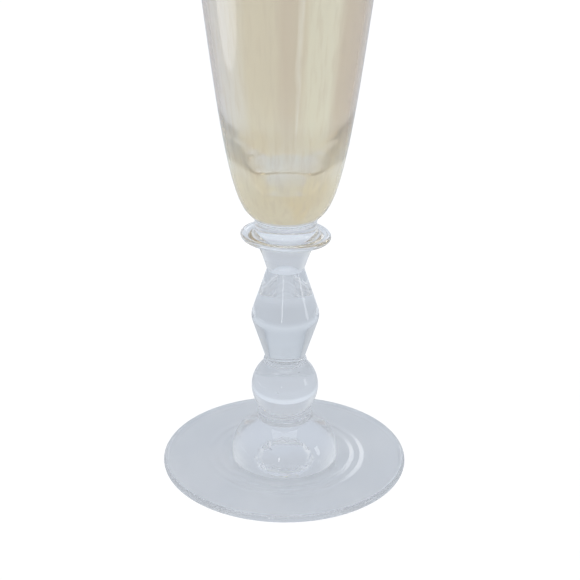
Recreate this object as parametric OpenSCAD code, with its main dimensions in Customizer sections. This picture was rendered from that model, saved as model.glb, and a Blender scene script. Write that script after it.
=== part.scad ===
// Champagne flute: a tall lustred bowl on a knopped baluster stem and a domed foot.
// Nine gathers of glass, each its own solid, sealed to the next one at a flat round face.
// Millimetres, +Z up, origin at the middle of the foot's flat underside.

/* [Foot] */
// Radius of the foot over its rim
foot_r = 38; // [34:0.5:42]
// Height of the rounded bead that runs around the foot's edge
foot_bead_h = 2.3; // [2.2:0.05:3]
// Thickness of the brim just inside the bead
brim_t = 2; // [1.7:0.05:2.1]
// Radius at which the brim stops being flat and starts to rise towards the dome
brim_flat_r = 27; // [24.5:0.5:30]
// Radius of the crease where the dome stands on the brim
dome_r = 16.5; // [15:0.1:18.5]
// Height of the dome's widest part
dome_spring_z = 3.5; // [2.5:0.1:5]
// Height of the crease
crease_z = 2.1; // [2:0.05:2.4]
// Height of the two soft rings left in the brim by the tools
brim_ring_h = 0.25; // [0:0.05:0.3]
// Height of the flat top of the dome, where the stem is sealed on
dome_top_z = 15.4; // [13:0.1:17]
// Radius of that flat top
dome_top_r = 8.4; // [8:0.1:9.5]
// Radius of the ground mark in the middle of the underside
pontil_r = 6.1; // [5.5:0.1:9]
// Depth of the flat middle of the ground mark
pontil_depth = 0.15; // [0.1:0.05:0.6]
// Depth of the groove around it
pontil_groove = 0.95; // [0.6:0.05:1.3]

/* [Lower stem] */
// Height of the flattened button between the dome and the ball
foot_merese_h = 3.2; // [2.5:0.1:4]
// Radius of the ball
ball_r = 10.27; // [9:0.05:11]
// Height of the ball's own centre above its lower seal face
ball_centre_rise = 7.4; // [6:0.1:8]
// Height of the ball between its two seal faces
ball_h = 15.6; // [14:0.1:16]
// Thickness of the thin wafer above the ball
knop_merese_h = 1.4; // [1:0.1:2]

/* [Two-coned knop] */
// Radius at its lower end
bicone_low_r = 5.9; // [5.5:0.05:6.2]
// Radius of the sharp corner that its two cones would meet in
bicone_waist_r = 10.52; // [9.5:0.05:12]
// Radius at its upper end
bicone_top_r = 5.6; // [5:0.05:6]
// Height of the lower cone
bicone_low_h = 14.2; // [12:0.1:17]
// Height of the upper cone
bicone_top_h = 14.85; // [12:0.1:17]
// Rounding of the waist, seen from the side
waist_round = 5.4; // [2:0.1:8]

/* [Upper stem] */
// Height of the inverted cone under the collar
funnel_h = 9.25; // [8:0.05:11]
// Radius of the top of that cone
funnel_top_r = 9.18; // [8:0.05:10]
// Radius of the collar over its rolled rim
collar_r = 13.42; // [12:0.05:15]
// Radius of the roll itself
collar_roll_r = 0.75; // [0.6:0.05:0.9]
// Height of the collar at its root
collar_h = 3.5; // [3:0.05:4]
// Radius of the clear ring between the collar and the bowl
neck_r = 9.25; // [8.5:0.05:9.8]
// Height of that ring
neck_h = 3.57; // [3:0.01:5]

/* [Bowl] */
// Height of the whole flute
flute_h = 230; // [215:1:245]
// Outer radius of the bowl at its rim
bowl_rim_r = 27.3; // [26.5:0.1:29]
// Outer radius at the change from the lower curve to the upper one
bowl_mid_r = 24.64; // [24:0.05:25.5]
// Outer radius of the round bottom, one fifth of the way up the lower curve
bowl_bottom_r = 18.4; // [17.8:0.1:19]
// Thickness of the wall at the rim
rim_t = 1.2; // [1:0.05:1.6]
// Thickness of the wall where the solid bottom ends
wall_t = 1.5; // [1.3:0.05:2]
// Thickness of the solid glass under the cavity
bowl_base_t = 10.03; // [8:0.01:12]
// Radius of the cavity's flat floor, corner included
cavity_floor_r = 5; // [3.5:0.1:6.5]

/* [Hidden] */

clear_glass = [0.78, 0.81, 0.85, 0.6];
lustred_glass = [0.84, 0.77, 0.62, 0.6];
turn_fn = 96;
curve_steps = 24;
arc_steps = 10;

// Heights of the seal faces, from the foot up
foot_merese_z = dome_top_z;
ball_z = foot_merese_z + foot_merese_h;
knop_merese_z = ball_z + ball_h;
bicone_z = knop_merese_z + knop_merese_h;
waist_z = bicone_z + bicone_low_h;
funnel_z = waist_z + bicone_top_h;
collar_z = funnel_z + funnel_h;
neck_z = collar_z + collar_h;
bowl_z = neck_z + neck_h;

// Radii of the ball's two seal faces
ball_low_r = sqrt(pow(ball_r, 2) - pow(ball_centre_rise, 2));
ball_top_r = sqrt(pow(ball_r, 2) - pow(ball_h - ball_centre_rise, 2));

// The dome is part of an ellipse about the axis, widest just above the brim
dome_rise = (dome_top_z - dome_spring_z) / sqrt(1 - pow(dome_top_r / dome_r, 2));

// The bowl's outer face: a round bottom, a long lower curve and a nearly upright upper one
bowl_mid_z = bowl_z + 0.48 * (flute_h - bowl_z);
bowl_bottom_z = bowl_z + 0.26 * (bowl_mid_z - bowl_z);
bowl_mid_slope = (bowl_mid_r - bowl_bottom_r) / (bowl_mid_z - bowl_bottom_z);
cavity_z = bowl_z + bowl_base_t;

// Points along a cubic Bezier curve
function bezier(a, b, c, d, steps = curve_steps) =
    [for (i = [0:steps]) let (t = i / steps, s = 1 - t)
        pow(s, 3) * a + 3 * pow(s, 2) * t * b + 3 * s * pow(t, 2) * c + pow(t, 3) * d];

// Points along a circular arc, angles in degrees
function arc(centre, radius, from, to, steps = arc_steps) =
    [for (i = [0:steps]) let (angle = from + (to - from) * i / steps)
        centre + radius * [cos(angle), sin(angle)]];

function unit(v) = v / norm(v);

// Points that round the corner at b between a and c with the given radius
function rounded(a, b, c, radius, steps = arc_steps) =
    let (u = unit(a - b),
         v = unit(c - b),
         half = acos(u * v) / 2,
         centre = b + unit(u + v) * radius / sin(half),
         start = b + u * radius / tan(half) - centre,
         turn = (cross(b - a, c - b) > 0 ? 1 : -1) * (180 - 2 * half),
         first = atan2(start[1], start[0]))
    arc(centre, radius, first, first + turn, steps);

// The list without its first point, for curves that start where the last one ended
function rest(points) = [for (i = [1:len(points) - 1]) points[i]];

// Height share at radius r of a soft ring given as [middle radius, half width]
function ring(r, shape) = exp(-pow((r - shape[0]) / shape[1], 2));

// A solid of revolution from its outline of [radius, height] points
module turned(outline) {
    rotate_extrude($fn = turn_fn)
        polygon(outline);
}

// Disc with a beaded edge, a brim that rises to a crease, and a domed middle
module foot() {
    bead_r = foot_bead_h / 2;
    bead_centre = [foot_r - bead_r, bead_r];
    bead_end = 180 - asin((brim_t - bead_r) / bead_r);
    crease_angle = asin((crease_z - dome_spring_z) / dome_rise);
    top_angle = asin((dome_top_z - dome_spring_z) / dome_rise);
    crease_r = dome_r * cos(crease_angle);
    brim_steps = 2 * curve_steps;
    inner_ring = [20.4, 1.3];
    outer_ring = [23.6, 1.1];
    outer_share = 0.64;
    brim = [for (i = [0:brim_steps])
        let (share = i / brim_steps,
             r = brim_flat_r - (brim_flat_r - crease_r) * share)
        [r, brim_t + (crease_z - brim_t) * pow(share, 2)
            + brim_ring_h * (ring(r, inner_ring) + outer_share * ring(r, outer_ring))]];
    dome = [for (i = [1:curve_steps])
        let (angle = crease_angle + (top_angle - crease_angle) * i / curve_steps)
        [dome_r * cos(angle), dome_spring_z + dome_rise * sin(angle)]];
    mark = [[0, pontil_depth],
            [pontil_r - 1.4, pontil_depth],
            [pontil_r - 1.1, 0.4 * pontil_groove],
            [pontil_r - 0.65, pontil_groove],
            [pontil_r - 0.2, 0.5 * pontil_groove],
            [pontil_r, 0]];
    color(clear_glass)
        turned(concat(
            mark,
            arc(bead_centre, bead_r, -90, bead_end, curve_steps),
            brim,
            dome,
            [[0, dome_top_z]]));
}

// Flattened button with a soft edge, as wide as the dome's top below and as the ball's foot above
module foot_merese() {
    bulge = 0.3;
    shoulder = [dome_top_r + bulge, foot_merese_z + 0.62 * foot_merese_h];
    low = [dome_top_r, foot_merese_z];
    top = [ball_low_r, ball_z];
    color(clear_glass)
        turned(concat(
            [[0, foot_merese_z], low],
            rounded(low, shoulder, top, 1.4),
            [top, [0, ball_z]]));
}

// Ball cut flat at both seal faces
module ball_knop() {
    centre = [0, ball_z + ball_centre_rise];
    low_angle = -asin(ball_centre_rise / ball_r);
    top_angle = asin((ball_h - ball_centre_rise) / ball_r);
    color(clear_glass)
        turned(concat(
            [[0, ball_z]],
            arc(centre, ball_r, low_angle, top_angle, 2 * curve_steps),
            [[0, knop_merese_z]]));
}

// Thin wafer with a rounded edge
module knop_merese() {
    edge_r = knop_merese_h / 2;
    color(clear_glass)
        turned(concat(
            [[0, knop_merese_z]],
            arc([ball_top_r - 0.4 * edge_r, knop_merese_z + edge_r], edge_r, -90, 90),
            [[0, bicone_z]]));
}

// Two long cones base to base, with a rounded waist
module bicone_knop() {
    low = [bicone_low_r, bicone_z];
    waist = [bicone_waist_r, waist_z];
    top = [bicone_top_r, funnel_z];
    color(clear_glass)
        turned(concat(
            [[0, bicone_z], low],
            rounded(low, waist, top, waist_round),
            [top, [0, funnel_z]]));
}

// Inverted cone that flares towards the collar
module funnel_knop() {
    color(clear_glass)
        turned(concat(
            [[0, funnel_z]],
            bezier([bicone_top_r, funnel_z],
                   [bicone_top_r + 0.9, funnel_z + 0.35 * funnel_h],
                   [funnel_top_r - 1.5, collar_z - 0.3 * funnel_h],
                   [funnel_top_r, collar_z]),
            [[0, collar_z]]));
}

// Wide thin collar with a dished upper face and a rolled rim
module collar() {
    roll_z = collar_z + 1.3;
    roll_centre = [collar_r - collar_roll_r, roll_z];
    roll = arc(roll_centre, collar_roll_r, -105, 130, curve_steps);
    roll_end = roll[len(roll) - 1];
    dish = bezier(roll_end,
                  [roll_end[0] - 1, roll_end[1] - 0.3],
                  [neck_r + 0.3, roll_end[1] + 0.1],
                  [neck_r, neck_z]);
    color(clear_glass)
        turned(concat(
            [[0, collar_z], [funnel_top_r, collar_z]],
            roll,
            rest(dish),
            [[0, neck_z]]));
}

// Short clear ring with a fine bead just under the bowl
module neck_merese() {
    bead_r = 0.45;
    bead_centre = [neck_r - 0.25, bowl_z - bead_r];
    color(clear_glass)
        turned(concat(
            [[0, neck_z], [neck_r, neck_z], [neck_r - 0.1, bowl_z - 2.4 * bead_r]],
            arc(bead_centre, bead_r, -60, 90),
            [[0, bowl_z]]));
}

// Tall bowl: solid rounded bottom, thin wall, fire-polished rim
module bowl() {
    base = [neck_r + 0.04, bowl_z];
    mid = [bowl_mid_r, bowl_mid_z];
    lower = bezier(base,
                   [base[0] + 6.27, bowl_z + 3.34],
                   [bowl_bottom_r, bowl_bottom_z],
                   mid, 2 * curve_steps);
    upper_run = flute_h - rim_t / 2 - bowl_mid_z;
    upper = bezier(mid,
                   [bowl_mid_r + 0.3 * upper_run * bowl_mid_slope, bowl_mid_z + 0.3 * upper_run],
                   [bowl_rim_r, bowl_mid_z + 0.6 * upper_run],
                   [bowl_rim_r, bowl_mid_z + upper_run]);
    rim = arc([bowl_rim_r - rim_t / 2, bowl_mid_z + upper_run], rim_t / 2, 0, 180);

    // The cavity keeps the outer face's shape down to where the solid bottom begins
    outer = concat(lower, rest(upper));
    wall_foot_z = bowl_z + 34;
    wall_side = [for (i = [len(outer) - 1:-1:0])
        let (p = outer[i],
             share = (p[1] - wall_foot_z) / (flute_h - wall_foot_z))
        if (p[1] > wall_foot_z && p[1] < flute_h - rim_t)
            [p[0] - wall_t - (rim_t - wall_t) * share, p[1]]];
    wall_foot = wall_side[len(wall_side) - 1];
    wall_lean = (wall_side[len(wall_side) - 3][0] - wall_foot[0])
              / (wall_side[len(wall_side) - 3][1] - wall_foot[1]);
    floor_edge = [cavity_floor_r, cavity_z];
    floor_corner = 0.8;
    steep_rise = [2.6, 6.8];
    hollow_run = 14;
    hollow_steps = 40;
    corner_steps = 6;
    whole_flare = bezier(wall_foot,
                         [wall_foot[0] - hollow_run * wall_lean, wall_foot[1] - hollow_run],
                         floor_edge + steep_rise,
                         floor_edge, hollow_steps);
    flare = [for (i = [1:hollow_steps - corner_steps]) whole_flare[i]];
    corner = rounded(flare[len(flare) - 1], floor_edge, [0, cavity_z], floor_corner);
    color(lustred_glass)
        turned(concat(
            [[0, bowl_z]],
            outer,
            rest(rim),
            wall_side,
            flare,
            corner,
            [[0, cavity_z]]));
}

foot();
foot_merese();
ball_knop();
knop_merese();
bicone_knop();
funnel_knop();
collar();
neck_merese();
bowl();
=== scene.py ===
import math

import bmesh
import bpy
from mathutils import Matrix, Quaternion, Vector, noise


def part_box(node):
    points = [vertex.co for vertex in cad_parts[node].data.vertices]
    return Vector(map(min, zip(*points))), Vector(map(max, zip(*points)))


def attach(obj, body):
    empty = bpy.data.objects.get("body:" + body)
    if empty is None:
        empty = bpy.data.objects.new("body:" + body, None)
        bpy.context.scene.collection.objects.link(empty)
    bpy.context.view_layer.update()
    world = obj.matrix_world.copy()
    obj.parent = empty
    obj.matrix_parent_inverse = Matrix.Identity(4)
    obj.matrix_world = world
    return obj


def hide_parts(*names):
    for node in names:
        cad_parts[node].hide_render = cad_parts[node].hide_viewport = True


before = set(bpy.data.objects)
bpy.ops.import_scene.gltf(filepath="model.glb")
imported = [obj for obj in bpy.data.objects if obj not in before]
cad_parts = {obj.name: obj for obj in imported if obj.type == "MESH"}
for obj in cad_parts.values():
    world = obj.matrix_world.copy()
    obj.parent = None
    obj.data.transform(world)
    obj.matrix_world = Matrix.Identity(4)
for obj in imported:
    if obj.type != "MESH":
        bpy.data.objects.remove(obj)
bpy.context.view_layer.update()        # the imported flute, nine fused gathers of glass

mm = 0.001
print("frame loaded:", ", ".join(sorted(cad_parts)))


# camera: level with the upper part of the bowl, looking down on the stem and foot
camera = {
    "place": (0, -350 * mm, 204.3 * mm),
    "pitch": 22.742,       # degrees below level
    "yaw": -0.22,
    "roll": 0.48,          # the flute leans a hair to the left going down
    "lens": 78.64,
    "sensor": 36,
    "nearest": 10 * mm,
}


def makeCamera():
    data = bpy.data.cameras.new("viewCamera")
    data.lens = camera["lens"]
    data.sensor_width = camera["sensor"]
    data.clip_start = camera["nearest"]
    made = bpy.data.objects.new("viewCamera", data)
    made.location = camera["place"]
    made.rotation_mode = "QUATERNION"
    turn = Quaternion((0, 0, 1), math.radians(camera["yaw"]))
    tip = Quaternion((1, 0, 0), math.radians(90 - camera["pitch"]))
    lean = Quaternion((0, 0, 1), math.radians(camera["roll"]))
    made.rotation_quaternion = turn @ tip @ lean
    bpy.context.scene.collection.objects.link(made)
    bpy.context.scene.camera = made


makeCamera()
print("camera ready")


# outlines: lists of (radius, height) in metres
def bezier(a, b, c, d, steps=24):
    points = []
    for i in range(steps + 1):
        t = i / steps
        s = 1 - t
        weights = (s ** 3, 3 * s * s * t, 3 * s * t * t, t ** 3)
        points.append(tuple(sum(w * p[k] for w, p in zip(weights, (a, b, c, d))) for k in (0, 1)))
    return points


def arc(centre, radius, first, last, steps=12):
    points = []
    for i in range(steps + 1):
        angle = math.radians(first + (last - first) * i / steps)
        points.append((centre[0] + radius * math.cos(angle), centre[1] + radius * math.sin(angle)))
    return points


def roundedCorner(a, b, c, radius, steps=12):
    before = (Vector(a) - Vector(b)).normalized()
    after = (Vector(c) - Vector(b)).normalized()
    half = math.acos(max(-1, min(1, before.dot(after)))) / 2
    centre = Vector(b) + (before + after).normalized() * radius / math.sin(half)
    start = Vector(b) + before * radius / math.tan(half) - centre
    side = before.x * after.y - before.y * after.x
    turn = (-1 if side > 0 else 1) * (180 - 2 * math.degrees(half))
    first = math.degrees(math.atan2(start.y, start.x))
    return arc(centre, radius, first, first + turn, steps)


def straight(a, b, steps):
    points = []
    for i in range(steps + 1):
        points.append((a[0] + (b[0] - a[0]) * i / steps, a[1] + (b[1] - a[1]) * i / steps))
    return points


# hand wobble: the same at a seam for both neighbours, and never outwards
wobble = {"amount": 0.004, "turns": 0.9, "climb": 22}


def handWobble(angle, height):
    place = Vector((math.cos(angle), math.sin(angle), height * wobble["climb"])) * wobble["turns"]
    return 1 - wobble["amount"] * (0.5 + 0.5 * noise.noise(place))


turning = {
    "spokes": 144,             # points round each ring
    "sameSpot": 1e-7,          # points nearer than this are one
    "sharpFrom": math.radians(40),
    "seedDetail": 2,
}


def turned(name, runs, spokes=turning["spokes"], bend=None, seeds=()):
    # runs: (material index, points) from the axis at the bottom round to the axis at the top
    mesh = bmesh.new()
    rings = []
    for material, points in runs:
        for point in points:
            if not rings or (Vector(point) - Vector(rings[-1][0])).length > turning["sameSpot"]:
                rings.append((point, material))
    grid = []
    for (radius, height), material in rings:
        if radius < turning["sameSpot"]:
            grid.append([mesh.verts.new((0, 0, height))])
            continue
        row = []
        for k in range(spokes):
            angle = 2 * math.pi * k / spokes
            reach = radius * handWobble(angle, height)
            place = Vector((reach * math.cos(angle), reach * math.sin(angle), height))
            if bend:
                place = bend(place)
            row.append(mesh.verts.new(place))
        grid.append(row)
    for step, (low, high) in enumerate(zip(grid, grid[1:])):
        for k in range(spokes):
            after = (k + 1) % spokes
            if len(low) == 1:
                corners = (low[0], high[after], high[k])
            elif len(high) == 1:
                corners = (low[k], low[after], high[0])
            else:
                corners = (low[k], low[after], high[after], high[k])
            face = mesh.faces.new(corners)
            face.smooth = True
            face.material_index = rings[step + 1][1]
    for place, radius in seeds:
        addSeed(mesh, place, radius)
    for edge in mesh.edges:
        if len(edge.link_faces) == 2:
            one, two = edge.link_faces
            sharp = one.normal.angle(two.normal, 0) > turning["sharpFrom"]
            if sharp or one.material_index != two.material_index:
                edge.smooth = False
    data = bpy.data.meshes.new(name)
    mesh.to_mesh(data)
    mesh.free()
    piece = bpy.data.objects.new(name, data)
    bpy.context.scene.collection.objects.link(piece)
    return piece


def addSeed(mesh, place, radius):
    # an air bubble: a closed surface whose faces look into the bubble
    made = bmesh.ops.create_icosphere(mesh, subdivisions=turning["seedDetail"], radius=radius * mm)
    for vert in made["verts"]:
        vert.co += Vector(place) * mm
    faces = {face for vert in made["verts"] for face in vert.link_faces}
    bmesh.ops.reverse_faces(mesh, faces=list(faces))
    for face in faces:
        face.smooth = True


# shader building
class Wire:
    def __init__(self, recipe, socket):
        self.recipe = recipe
        self.socket = socket

    def worked(self, operation, first, second):
        return self.recipe.node("ShaderNodeMath", {"operation": operation}, {0: first, 1: second})

    def __add__(self, other):
        return self.worked("ADD", self, other)

    def __radd__(self, other):
        return self.worked("ADD", other, self)

    def __sub__(self, other):
        return self.worked("SUBTRACT", self, other)

    def __rsub__(self, other):
        return self.worked("SUBTRACT", other, self)

    def __mul__(self, other):
        return self.worked("MULTIPLY", self, other)

    def __rmul__(self, other):
        return self.worked("MULTIPLY", other, self)

    def __truediv__(self, other):
        return self.worked("DIVIDE", self, other)


class Recipe:
    def __init__(self, name, tree=None):
        if tree is None:
            self.material = bpy.data.materials.new(name)
            self.material.use_nodes = True
            tree = self.material.node_tree
        self.tree = tree
        self.tree.nodes.clear()

    def node(self, kind, settings=None, sockets=None, output=0):
        made = self.tree.nodes.new(kind)
        for name, value in (settings or {}).items():
            if name == "stops":
                ramp = made.color_ramp
                while len(ramp.elements) < len(value):
                    ramp.elements.new(0.5)
                for element, (position, colour) in zip(ramp.elements, value):
                    element.position = position
                    element.color = (*colour, 1)
            else:
                setattr(made, name, value)
        for name, value in (sockets or {}).items():
            if isinstance(value, Wire):
                self.tree.links.new(value.socket, made.inputs[name])
            else:
                made.inputs[name].default_value = value
        return None if output is None else Wire(self, made.outputs[output])

    def blend(self, share, first, second, way="MIX"):
        colours = {6: first, 7: second}
        for name, colour in colours.items():
            if not isinstance(colour, Wire):
                colours[name] = (*colour, 1)
        settings = {"data_type": "RGBA", "blend_type": way}
        return self.node("ShaderNodeMix", settings, {0: share, **colours}, 2)

    def noise(self, scale, detail, stretch=(1, 1, 1), move=(0, 0, 0)):
        place = self.node("ShaderNodeTexCoord", output="Object")
        moved = {"Vector": place, "Scale": stretch, "Location": move}
        place = self.node("ShaderNodeMapping", None, moved)
        return self.node("ShaderNodeTexNoise", None, {"Vector": place, "Scale": scale, "Detail": detail})

    def along(self, axis, space="Object"):
        place = self.node("ShaderNodeTexCoord", output=space)
        return self.node("ShaderNodeSeparateXYZ", None, {0: place}, axis)

    def turn(self):
        # degrees round from the front, positive to the right
        across = self.along("X")
        return across.worked("ARCTAN2", across, 0 - self.along("Y")) * (180 / math.pi)

    def step(self, value, low, high):
        limits = {"Value": value, "From Min": low, "From Max": high}
        return self.node("ShaderNodeMapRange", {"interpolation_type": "SMOOTHSTEP"}, limits)

    def bumped(self, height, distance, strength):
        sockets = {"Height": height, "Distance": distance, "Strength": strength}
        return self.node("ShaderNodeBump", None, sockets)

    def glass(self, colour, roughness, normal, lampColour, seeThrough=1.0):
        surface = self.node("ShaderNodeBsdfPrincipled", None, {
            "Base Color": colour,
            "Roughness": roughness,
            "Normal": normal,
            "Transmission Weight": seeThrough,
            "IOR": glassIndex,
        })
        # lamps shine through with a tint, so the glass throws no black shadow
        clear = self.node("ShaderNodeBsdfTransparent", None, {"Color": (*lampColour, 1)})
        lamps = self.node("ShaderNodeLightPath", output="Is Shadow Ray")
        self.finish(self.node("ShaderNodeMixShader", None, {0: lamps, 1: surface, 2: clear}))

    def finish(self, surface):
        self.node("ShaderNodeOutputMaterial", None, {"Surface": surface}, None)


# finishes: a noise is (scale, detail, stretch, move), a range is where it starts and ends
glassIndex = 1.5             # how strongly the glass bends light

clear = {
    "tint": (0.965, 0.972, 0.98),
    "deeper": (0.935, 0.948, 0.962),
    "drift": (38, 2),
    "driftRange": (0.35, 0.65),
    "lamps": (0.95, 0.955, 0.965),
    "skin": (95, 2, (1, 1, 0.6)),
    "ripple": 0.08 * mm,
    "rippleStrength": 0.35,
    "breath": (420, 4),
    "breathRange": (0.55, 0.9),
    "smear": 0.02,
    "brimHaze": 0.13,          # the brim is a little cloudy from being spun and flattened
    "shadedCone": (0.76, 0.775, 0.785),       # painted shade: the lower cone is tinted greyer than the rest of the glass
    "shadedConeEdge": (51 * mm, 47 * mm),
}


def makeClearGlass(name, haze=0.0, shadedCone=False):
    recipe = Recipe(name)
    drift = recipe.step(recipe.noise(*clear["drift"]), *clear["driftRange"])
    colour = recipe.blend(drift, clear["tint"], clear["deeper"])
    if shadedCone:
        # painted shade: below the waist the glass colour turns greyer
        below = recipe.step(recipe.along("Z"), *clear["shadedConeEdge"])
        colour = recipe.blend(below, colour, clear["shadedCone"])
    breath = recipe.step(recipe.noise(*clear["breath"]), *clear["breathRange"])
    roughness = haze + breath * (clear["smear"] + 0.5 * haze)
    normal = recipe.bumped(recipe.noise(*clear["skin"]), clear["ripple"], clear["rippleStrength"])
    recipe.glass(colour, roughness, normal, clear["lamps"])
    return recipe.material


def makeFusedJoint():
    # where two gathers melted into one another nothing is left to see
    recipe = Recipe("fusedJoint")
    recipe.finish(recipe.node("ShaderNodeBsdfTransparent", None, {"Color": (1, 1, 1, 1)}))
    return recipe.material


ground = {
    "grit": (900, 5),
    "dull": (0.93, 0.94, 0.95),
    "bright": (0.97, 0.975, 0.98),
    "smooth": 0.02,
    "rough": 0.05,
    "pits": 0.04 * mm,
    "pitStrength": 0.4,
}


def makeGroundGlass():
    recipe = Recipe("groundGlass")
    grit = recipe.noise(*ground["grit"])
    colour = recipe.blend(grit, ground["dull"], ground["bright"])
    roughness = ground["smooth"] + grit * ground["rough"]
    normal = recipe.bumped(grit, ground["pits"], ground["pitStrength"])
    recipe.glass(colour, roughness, normal, clear["lamps"])
    return recipe.material


lustre = {
    # how far round from the front in degrees, and the colour there: the amber film's own tone, with
    # painted reflections in the pale bands and painted shade in the darker bands towards the sides
    "filmAndPaintedLightBands": [
        (-130, (0.96, 0.88, 0.72)),
        (-90, (0.62, 0.50, 0.45)),
        (-70, (0.80, 0.71, 0.62)),
        (-60, (1.0, 0.99, 0.97)),
        (-44, (1.0, 0.98, 0.94)),
        (-28, (0.92, 0.84, 0.66)),
        (-9, (0.90, 0.82, 0.65)),
        (-2, (0.81, 0.70, 0.57)),
        (7, (0.83, 0.73, 0.59)),
        (9.5, (1.0, 0.96, 0.84)),
        (12, (0.90, 0.81, 0.65)),
        (18, (1.0, 0.97, 0.79)),
        (34, (1.0, 0.97, 0.80)),
        (43, (0.80, 0.69, 0.57)),
        (68, (0.80, 0.69, 0.57)),
        (88, (0.66, 0.54, 0.44)),
        (130, (0.96, 0.88, 0.72)),
    ],
    "wander": (60, 2, (1, 1, 0.12)),
    "drift": 0.03,             # how far the bands wander, in turns
    "fine": (420, 3, (1, 1, 0.03)),
    "fineDrift": 0.02,
    "plain": (1.0, 0.93, 0.76),          # the even colour low on the bowl
    "pale": (1.0, 0.985, 0.89),
    "patches": (85, 2, (1, 1, 0.35), (0.3, 0.1, 0)),
    "patchRange": (0.42, 0.62),
    "even": (118 * mm, 100 * mm),
    "pooled": (1.0, 0.93, 0.775),        # the film is heavier round the solid bottom
    "pool": (104 * mm, 92 * mm),
    "streak": (0.80, 0.70, 0.58),        # fine upright threads in the film
    "threads": (750, 3, (1, 1, 0.02)),
    "threadRange": (0.45, 0.7),
    "threadShare": 0.3,
    "start": 82.4 * mm,        # where the film begins above the clear ring
    "edge": (60, 1),
    "edgeWave": 2 * mm,
    "edgeSoft": 0.25 * mm,
    "breath": (300, 3),
    "breathRange": (0.5, 0.9),
    "smear": 0.03,
    "ripple": 0.08 * mm,
    "rippleStrength": 0.3,
    "seeThrough": 0.66,        # the rest is the film's own milky sheen
    "lamps": (0.93, 0.90, 0.84),
}


def makeLustre():
    recipe = Recipe("amberLustre")
    wander = (recipe.noise(*lustre["wander"]) - 0.5) * lustre["drift"]
    fine = recipe.noise(*lustre["fine"])
    turn = recipe.turn() / 360 + 0.5 + wander + (fine - 0.5) * lustre["fineDrift"]
    stops = [(angle / 360 + 0.5, colour) for angle, colour in lustre["filmAndPaintedLightBands"]]
    # painted reflections and painted shade, laid round the bowl with the film's colour
    colour = recipe.node("ShaderNodeValToRGB", {"stops": stops}, {0: turn})
    patches = recipe.step(recipe.noise(*lustre["patches"]), *lustre["patchRange"])
    plain = recipe.blend(patches, lustre["plain"], lustre["pale"])
    colour = recipe.blend(recipe.step(recipe.along("Z"), *lustre["even"]), colour, plain)
    pool = recipe.step(recipe.along("Z"), *lustre["pool"])
    colour = recipe.blend(pool, colour, lustre["pooled"], "MULTIPLY")
    threads = recipe.step(recipe.noise(*lustre["threads"]), *lustre["threadRange"])
    colour = recipe.blend(threads * lustre["threadShare"], colour, lustre["streak"])
    edge = recipe.along("Z") + (recipe.noise(*lustre["edge"]) - 0.5) * lustre["edgeWave"]
    soft = lustre["edgeSoft"]
    covered = recipe.step(edge, lustre["start"] - soft, lustre["start"] + soft)
    colour = recipe.blend(covered, clear["tint"], colour)
    breath = recipe.step(recipe.noise(*lustre["breath"]), *lustre["breathRange"])
    normal = recipe.bumped(fine, lustre["ripple"], lustre["rippleStrength"])
    recipe.glass(colour, breath * lustre["smear"], normal, lustre["lamps"], lustre["seeThrough"])
    return recipe.material


inner = {
    "amber": (1.0, 0.94, 0.80),
    "pale": (1.0, 0.96, 0.85),
    "drift": (40, 2),
    "breathRange": (0.5, 0.9),
    "smear": 0.02,
    "skin": (60, 2, (1, 1, 0.3)),
    "ripple": 0.1 * mm,
    "rippleStrength": 0.3,
    "lamps": (0.97, 0.97, 0.97),
}


def makeInnerWall():
    recipe = Recipe("bowlInside")
    drift = recipe.noise(*inner["drift"])
    colour = recipe.blend(drift, inner["amber"], inner["pale"])
    roughness = recipe.step(drift, *inner["breathRange"]) * inner["smear"]
    normal = recipe.bumped(recipe.noise(*inner["skin"]), inner["ripple"], inner["rippleStrength"])
    recipe.glass(colour, roughness, normal, inner["lamps"])
    return recipe.material


clearGlass = makeClearGlass("clearGlass")
brimGlass = makeClearGlass("brimGlass", clear["brimHaze"])
coneGlass = makeClearGlass("coneGlass", shadedCone=True)
fusedJoint = makeFusedJoint()
groundGlass = makeGroundGlass()
amberLustre = makeLustre()
bowlInside = makeInnerWall()
print("finishes mixed")


def settle(piece, node, materials):
    for material in materials:
        piece.data.materials.append(material)
    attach(piece, "root")
    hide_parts(node)
    print("made", piece.name)


# which of a piece's finishes a run of its outline takes
own, fused, second, third = range(4)


def closedTop(radius, height):
    return (fused, [(radius, height), (0, height)])


def closedLow(radius, height):
    return (fused, [(0, height), (radius, height)])


def gather(low, high, side):
    # a plain gather: a seal face at each end of its side
    return [closedLow(side[0][0], low.z), (own, side), closedTop(side[-1][0], high.z)]


# where each gather is sealed to the next, in radii
seals = {
    "domeTop": 8.4 * mm,
    "ballLow": 7.12 * mm,
    "wafer": 5.9 * mm,
    "biconeTop": 5.6 * mm,
    "funnelTop": 9.18 * mm,
    "neckLow": 9.25 * mm,
    "bowlLow": 9.0 * mm,
}

foot = {
    "beadHeight": 2.3 * mm,
    "brim": 2.0 * mm,
    "flatRadius": 27 * mm,
    "domeRadius": 16.5 * mm,
    "domeSpring": 3.5 * mm,
    "crease": 2.1 * mm,
    # raised rings on the brim: (radius, half width, height)
    "rings": [(20.4 * mm, 1.3 * mm, 0.25 * mm), (23.6 * mm, 1.1 * mm, 0.16 * mm)],
    # underside: (radius, height) in mm of the ground mark and the groove round it
    "mark": [
        (0, 0.15), (4.5, 0.15), (4.8, 0.21), (5.0, 0.38), (5.2, 0.7), (5.45, 0.92),
        (5.7, 0.78), (5.9, 0.48), (6.02, 0.18), (6.1, 0),
    ],
    "chips": (0.5, 0.45 * mm),           # how uneven the groove is, in depth and across
    "chipScales": (1100, 400, 650),      # fine and coarse in depth, then across
    "coarseShare": 0.6,
    "spokes": 256,
    "steps": {"under": 12, "rim": 24, "flat": 8, "brim": 110, "dome": 40},
}


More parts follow.
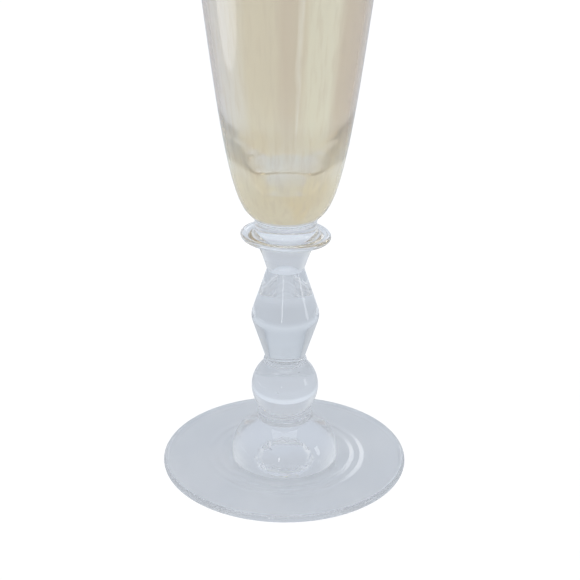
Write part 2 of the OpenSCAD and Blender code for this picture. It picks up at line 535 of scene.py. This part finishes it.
def makeFoot():
    low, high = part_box("foot")
    steps = foot["steps"]
    radius = high.x
    bead = foot["beadHeight"] / 2
    beadEnd = 180 - math.degrees(math.asin((foot["brim"] - bead) / bead))
    rise = (high.z - foot["domeSpring"]) / math.sqrt(1 - (seals["domeTop"] / foot["domeRadius"]) ** 2)
    creaseAngle = math.asin((foot["crease"] - foot["domeSpring"]) / rise)
    topAngle = math.asin((high.z - foot["domeSpring"]) / rise)
    dome = []
    for angle, _ in straight((creaseAngle, 0), (topAngle, 0), steps["dome"]):
        dome.append((foot["domeRadius"] * math.cos(angle), foot["domeSpring"] + rise * math.sin(angle)))
    brim = []
    for reach, _ in straight((foot["flatRadius"], 0), (dome[0][0], 0), steps["brim"]):
        share = (foot["flatRadius"] - reach) / (foot["flatRadius"] - dome[0][0])
        height = foot["brim"] + (foot["crease"] - foot["brim"]) * share ** 2
        for middle, width, tall in foot["rings"]:
            height += tall * math.exp(-((reach - middle) / width) ** 2)
        brim.append((reach, height))
    mark = [(reach * mm, height * mm) for reach, height in foot["mark"]]
    under = straight(mark[-1], (radius - bead, 0), steps["under"])
    rim = arc((radius - bead, bead), bead, -90, beadEnd, steps["rim"])
    flat = straight(rim[-1], brim[0], steps["flat"])

    def chipped(place):
        reach = Vector((place.x, place.y)).length
        if place.z > mm or not mark[1][0] < reach < mark[-1][0]:
            return place
        depth, across = foot["chips"]
        fine, coarse, wide = foot["chipScales"]
        chips = noise.noise(place * fine) + foot["coarseShare"] * noise.noise(place * coarse)
        outwards = 1 + across / reach * noise.noise(place * wide + Vector((3, 1, 2)))
        return Vector((place.x * outwards, place.y * outwards, place.z * (1 + depth * chips)))

    runs = [
        (second, mark),
        (own, under + rim),
        (third, flat + brim),
        (own, dome),
        closedTop(seals["domeTop"], high.z),
    ]
    piece = turned("footDisc", runs, foot["spokes"], chipped)
    settle(piece, "foot", [clearGlass, fusedJoint, groundGlass, brimGlass])


footButton = {"bulge": 0.3 * mm, "shoulder": 0.62, "edge": 1.4 * mm}


def makeFootButton():
    low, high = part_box("foot_merese")
    start = (seals["domeTop"], low.z)
    end = (seals["ballLow"], high.z)
    shoulderHeight = low.z + footButton["shoulder"] * (high.z - low.z)
    shoulder = (seals["domeTop"] + footButton["bulge"], shoulderHeight)
    side = [start] + roundedCorner(start, shoulder, end, footButton["edge"]) + [end]
    piece = turned("footButton", gather(low, high, side))
    settle(piece, "foot_merese", [clearGlass, fusedJoint])


# seeds are air bubbles: where, and how large, in mm
ball = {"seeds": [((-1.6, -3.0, 25.3), 0.22), ((2.9, 1.5, 28.0), 0.14)], "steps": 64}


def makeBall():
    low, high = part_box("ball_knop")
    radius = high.x
    rise = math.sqrt(radius ** 2 - seals["ballLow"] ** 2)
    centre = (0, low.z + rise)
    first = -math.degrees(math.asin(rise / radius))
    last = math.degrees(math.asin((high.z - centre[1]) / radius))
    side = arc(centre, radius, first, last, ball["steps"])
    side.append((seals["wafer"], high.z))
    piece = turned("ballKnop", gather(low, high, side), seeds=ball["seeds"])
    settle(piece, "ball_knop", [clearGlass, fusedJoint])


def makeWafer():
    low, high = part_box("knop_merese")
    edge = (high.z - low.z) / 2
    side = arc((seals["wafer"], low.z + edge), edge, -90, 90, 16)
    piece = turned("knopWafer", gather(low, high, side))
    settle(piece, "knop_merese", [clearGlass, fusedJoint])


bicone = {
    "waistRadius": 10.52 * mm,
    "waistRise": 14.2 * mm,
    "waistRound": 5.4 * mm,
    "steps": {"cone": 16, "waist": 24},
}


def makeBicone():
    low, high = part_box("bicone_knop")
    steps = bicone["steps"]
    start = (seals["wafer"], low.z)
    waist = (bicone["waistRadius"], low.z + bicone["waistRise"])
    end = (seals["biconeTop"], high.z)
    middle = roundedCorner(start, waist, end, bicone["waistRound"], steps["waist"])
    side = straight(start, middle[0], steps["cone"]) + middle + straight(middle[-1], end, steps["cone"])
    piece = turned("biconeKnop", gather(low, high, side))
    settle(piece, "bicone_knop", [coneGlass, fusedJoint])


# the curve's two handles: how far out or in, and what share of the height up or down
funnel = {"low": (0.9 * mm, 0.35), "top": (1.5 * mm, 0.3)}


def makeFunnel():
    low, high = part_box("funnel_knop")
    tall = high.z - low.z
    side = bezier(
        (seals["biconeTop"], low.z),
        (seals["biconeTop"] + funnel["low"][0], low.z + funnel["low"][1] * tall),
        (seals["funnelTop"] - funnel["top"][0], high.z - funnel["top"][1] * tall),
        (seals["funnelTop"], high.z),
    )
    piece = turned("funnelKnop", gather(low, high, side))
    settle(piece, "funnel_knop", [clearGlass, fusedJoint])


collar = {
    "roll": 0.75 * mm,
    "rollRise": 1.3 * mm,
    "rollTurn": (-105, 130),
    "dish": [(-1 * mm, -0.3 * mm), (0.3 * mm, 0.1 * mm)],      # the dished top's two handles
    "tilt": 2.0,               # degrees it droops to the right
    "tiltEase": 1.2,
    "steps": {"under": 8, "roll": 32},
}


def makeCollar():
    low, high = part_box("collar")
    radius = high.x
    centre = (radius - collar["roll"], low.z + collar["rollRise"])
    roll = arc(centre, collar["roll"], *collar["rollTurn"], collar["steps"]["roll"])
    end = roll[-1]
    outer, inside = collar["dish"]
    dish = bezier(
        end,
        (end[0] + outer[0], end[1] + outer[1]),
        (seals["neckLow"] + inside[0], end[1] + inside[1]),
        (seals["neckLow"], high.z),
    )
    under = straight((seals["funnelTop"], low.z), roll[0], collar["steps"]["under"])
    slope = math.tan(math.radians(collar["tilt"]))

    def droop(place):
        reach = (Vector((place.x, place.y)).length - seals["neckLow"]) / (radius - seals["neckLow"])
        share = max(0, min(1, reach)) ** collar["tiltEase"]
        return Vector((place.x, place.y, place.z - share * slope * place.x))

    piece = turned("collarDisc", gather(low, high, under + roll + dish), bend=droop)
    settle(piece, "collar", [clearGlass, fusedJoint])


neck = {"bead": 0.45 * mm, "beadDepth": 2.4, "beadTurn": (-60, 90), "taper": 0.1 * mm}


def makeNeck():
    low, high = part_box("neck_merese")
    bead = neck["bead"]
    waist = (seals["neckLow"] - neck["taper"], high.z - neck["beadDepth"] * bead)
    side = straight((seals["neckLow"], low.z), waist, 8)
    side += arc((seals["bowlLow"], high.z - bead), bead, *neck["beadTurn"])
    piece = turned("neckRing", gather(low, high, side))
    settle(piece, "neck_merese", [clearGlass, fusedJoint])


bowl = {
    "baseRadius": 9.29 * mm,
    "baseSpread": (6.27 * mm, 3.34 * mm),
    "bottomRadius": 18.4 * mm,
    "bottomShare": 0.26,
    "midRadius": 24.64 * mm,
    "midShare": 0.48,
    "upperShares": (0.3, 0.6),
    "rim": 1.2 * mm,
    "wall": 1.5 * mm,
    "base": 10.03 * mm,
    "floorRadius": 5 * mm,
    "floorCorner": 0.8 * mm,
    "floorSlope": (2.6 * mm, 6.8 * mm),
    "wallFoot": 34 * mm,
    "flareRun": 14 * mm,       # how long the wall keeps its lean before it curves in
    "seeds": [((-3.6, -2.2, 86.6), 0.16), ((4.1, -1.6, 86.9), 0.13), ((3.0, 2.4, 85.4), 0.18)],
    "spokes": 192,
    "steps": {"lower": 72, "upper": 48, "rim": 16, "flare": 80, "flareLeftOut": 13},
}


def bowlOutside(low, high):
    base = (bowl["baseRadius"], low.z)
    mid = (bowl["midRadius"], low.z + bowl["midShare"] * (high.z - low.z))
    bottom = (bowl["bottomRadius"], low.z + bowl["bottomShare"] * (mid[1] - low.z))
    spread = (base[0] + bowl["baseSpread"][0], low.z + bowl["baseSpread"][1])
    lower = bezier(base, spread, bottom, mid, bowl["steps"]["lower"])
    slope = (mid[0] - bottom[0]) / (mid[1] - bottom[1])
    run = high.z - bowl["rim"] / 2 - mid[1]
    near, far = bowl["upperShares"]
    upper = bezier(
        mid,
        (mid[0] + near * run * slope, mid[1] + near * run),
        (high.x, mid[1] + far * run),
        (high.x, mid[1] + run),
        bowl["steps"]["upper"],
    )
    return lower + upper[1:]


def makeBowl():
    low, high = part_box("bowl")
    steps = bowl["steps"]
    outside = bowlOutside(low, high)
    lip = bowl["rim"] / 2
    rim = arc((high.x - lip, high.z - lip), lip, 0, 180, steps["rim"])
    wallFoot = low.z + bowl["wallFoot"]
    wall = []
    for radius, height in reversed(outside):
        if wallFoot < height < high.z - bowl["rim"]:
            share = (height - wallFoot) / (high.z - wallFoot)
            wall.append((radius - bowl["wall"] - (bowl["rim"] - bowl["wall"]) * share, height))
    lean = (wall[-3][0] - wall[-1][0]) / (wall[-3][1] - wall[-1][1])
    run = bowl["flareRun"]
    floor = low.z + bowl["base"]
    edge = (bowl["floorRadius"], floor)
    steep = (edge[0] + bowl["floorSlope"][0], floor + bowl["floorSlope"][1])
    below = (wall[-1][0] - run * lean, wall[-1][1] - run)
    flare = bezier(wall[-1], below, steep, edge, steps["flare"])[:-steps["flareLeftOut"]]
    cavity = flare + roundedCorner(flare[-1], edge, (0, floor), bowl["floorCorner"]) + [(0, floor)]
    runs = [closedLow(seals["bowlLow"], low.z), (own, outside), (own, rim), (second, wall + cavity)]
    piece = turned("bowlBody", runs, bowl["spokes"], seeds=bowl["seeds"])
    settle(piece, "bowl", [amberLustre, fusedJoint, bowlInside])


makeFoot()
makeFootButton()
makeBall()
makeWafer()
makeBicone()
makeFunnel()
makeCollar()
makeNeck()
makeBowl()


# stage: a pale table top and soft window light
stage = {
    "halfSize": 3.0,
    "gap": 0.3 * mm,
    # painted light: the table under the foot is brighter than the open table
    "litUnderFoot": (0.965, 0.975, 0.985),
    "shaded": (0.745, 0.765, 0.79),      # the soft shade round the flute
    "open": (0.91, 0.935, 0.96),
    "shadeFrom": (36 * mm, 39.5 * mm),
    "shadeTo": (115 * mm, 200 * mm),
    # noise that wobbles the edges of the painted light and shade
    "shadeEdgeNoise": (25, 3),
    "shadeEdgeWave": 4 * mm,
    "roughness": 0.9,
    "washedOut": 0.85,         # how far it goes to white when looked at directly
    "glow": 1.1,
    "bounces": 64,             # light runs round inside the glass many times
}


def makeTable():
    half = stage["halfSize"]
    corners = [(-half, -half), (half, -half), (half, half), (-half, half)]
    data = bpy.data.meshes.new("tableTop")
    data.from_pydata([(x, y, -stage["gap"]) for x, y in corners], [], [(0, 1, 2, 3)])
    table = bpy.data.objects.new("tableTop", data)
    bpy.context.scene.collection.objects.link(table)
    recipe = Recipe("palePaper")
    place = recipe.node("ShaderNodeTexCoord", output="Object")
    reach = recipe.node("ShaderNodeVectorMath", {"operation": "LENGTH"}, {0: place}, "Value")
    reach = reach + (recipe.noise(*stage["shadeEdgeNoise"]) - 0.5) * stage["shadeEdgeWave"]
    # painted light under the foot, painted shade in a ring round the flute, open table beyond
    colour = recipe.blend(recipe.step(reach, *stage["shadeFrom"]), stage["litUnderFoot"], stage["shaded"])
    colour = recipe.blend(recipe.step(reach, *stage["shadeTo"]), colour, stage["open"])
    paperLook = {"Base Color": colour, "Roughness": stage["roughness"]}
    paper = recipe.node("ShaderNodeBsdfPrincipled", None, paperLook)
    glow = recipe.node("ShaderNodeEmission", None, {"Color": (1, 1, 1, 1), "Strength": stage["glow"]})
    direct = recipe.node("ShaderNodeLightPath", output="Is Camera Ray") * stage["washedOut"]
    recipe.finish(recipe.node("ShaderNodeMixShader", None, {0: direct, 1: paper, 2: glow}))
    data.materials.append(recipe.material)


lamps = {
    "sideWindow": {
        "place": (1.35, -0.25, 0.32), "aim": (0, 0, 0.1), "size": (0.22, 0.5), "power": 0.9,
    },
    "backWindow": {
        "place": (0.31, 1.34, 0.82), "aim": (0, 0, 0.05), "size": (0.2, 0.45), "power": 0.65,
    },
    "ceiling": {
        "place": (0, -0.2, 2.0), "aim": (0, 0, 0), "size": (1.6, 1.6), "power": 9,
    },
    # a narrow light beside the camera: the upright line on the cones, the spot on the ball
    "frontStrip": {
        "place": (-0.208, -0.978, 0.285), "aim": (0, 0, 0.055), "size": (0.05, 0.2), "power": 0.16,
    },
    # a bright patch on the table to the left, mirrored as a streak in the bowl
    "tablePatch": {
        "place": (-0.445, -0.012, 0.004), "aim": (-0.445, -0.012, 1), "size": (0.28, 0.28),
        "power": 0.33, "shape": "ELLIPSE", "lightsTable": False,
    },
}


def makeLamps():
    for name, lamp in lamps.items():
        data = bpy.data.lights.new(name, "AREA")
        data.shape = lamp.get("shape", "RECTANGLE")
        data.size, data.size_y = lamp["size"]
        data.energy = lamp["power"]
        made = bpy.data.objects.new(name, data)
        made.location = lamp["place"]
        made.visible_transmission = False       # seen as a gleam on the glass, not through it
        made.visible_camera = False
        made.visible_diffuse = lamp.get("lightsTable", True)
        away = Vector(lamp["aim"]) - Vector(lamp["place"])
        made.rotation_mode = "QUATERNION"
        made.rotation_quaternion = away.to_track_quat("-Z", "Y")
        bpy.context.scene.collection.objects.link(made)


room = {
    "white": (1.0, 1.0, 1.0),
    "ahead": (0.575, 0.61, 0.665),       # behind the flute
    "behind": (0.50, 0.48, 0.475),       # behind the camera
    "left": (0.74, 0.775, 0.82),
    "right": (0.70, 0.735, 0.78),
    "above": (0.615, 0.66, 0.73),
    "rise": (0.35, 0.75),      # how far up the change to the ceiling runs
    "turn": (-0.9, -0.35),     # how far round the change from behind runs
    "sides": (0.4, 0.8),       # how far across the change to left or right runs
}


def makeRoom():
    # the backdrop is washed out to white; what the glass bends and mirrors is the dimmer room
    world = bpy.data.worlds.new("paleRoom")
    bpy.context.scene.world = world
    world.use_nodes = True
    recipe = Recipe("roomOnly", world.node_tree)
    across, depth, up = (recipe.along(axis, "Generated") for axis in "XYZ")
    near, far = room["sides"]
    ahead = recipe.blend(recipe.step(across, -near, -far), room["ahead"], room["left"])
    ahead = recipe.blend(recipe.step(across, near, far), ahead, room["right"])
    colour = recipe.blend(recipe.step(depth, *room["turn"]), room["behind"], ahead)
    colour = recipe.blend(recipe.step(up, *room["rise"]), colour, room["above"])
    direct = recipe.node("ShaderNodeLightPath", output="Is Camera Ray")
    colour = recipe.blend(direct, colour, room["white"])
    lit = recipe.node("ShaderNodeBackground", None, {"Color": colour})
    recipe.node("ShaderNodeOutputWorld", None, {"Surface": lit}, None)


makeTable()
makeLamps()
makeRoom()

scene = bpy.context.scene
scene.view_settings.view_transform = "Standard"
for limit in ("max_bounces", "glossy_bounces", "transmission_bounces", "transparent_max_bounces"):
    setattr(scene.cycles, limit, stage["bounces"])
print("stage lit")
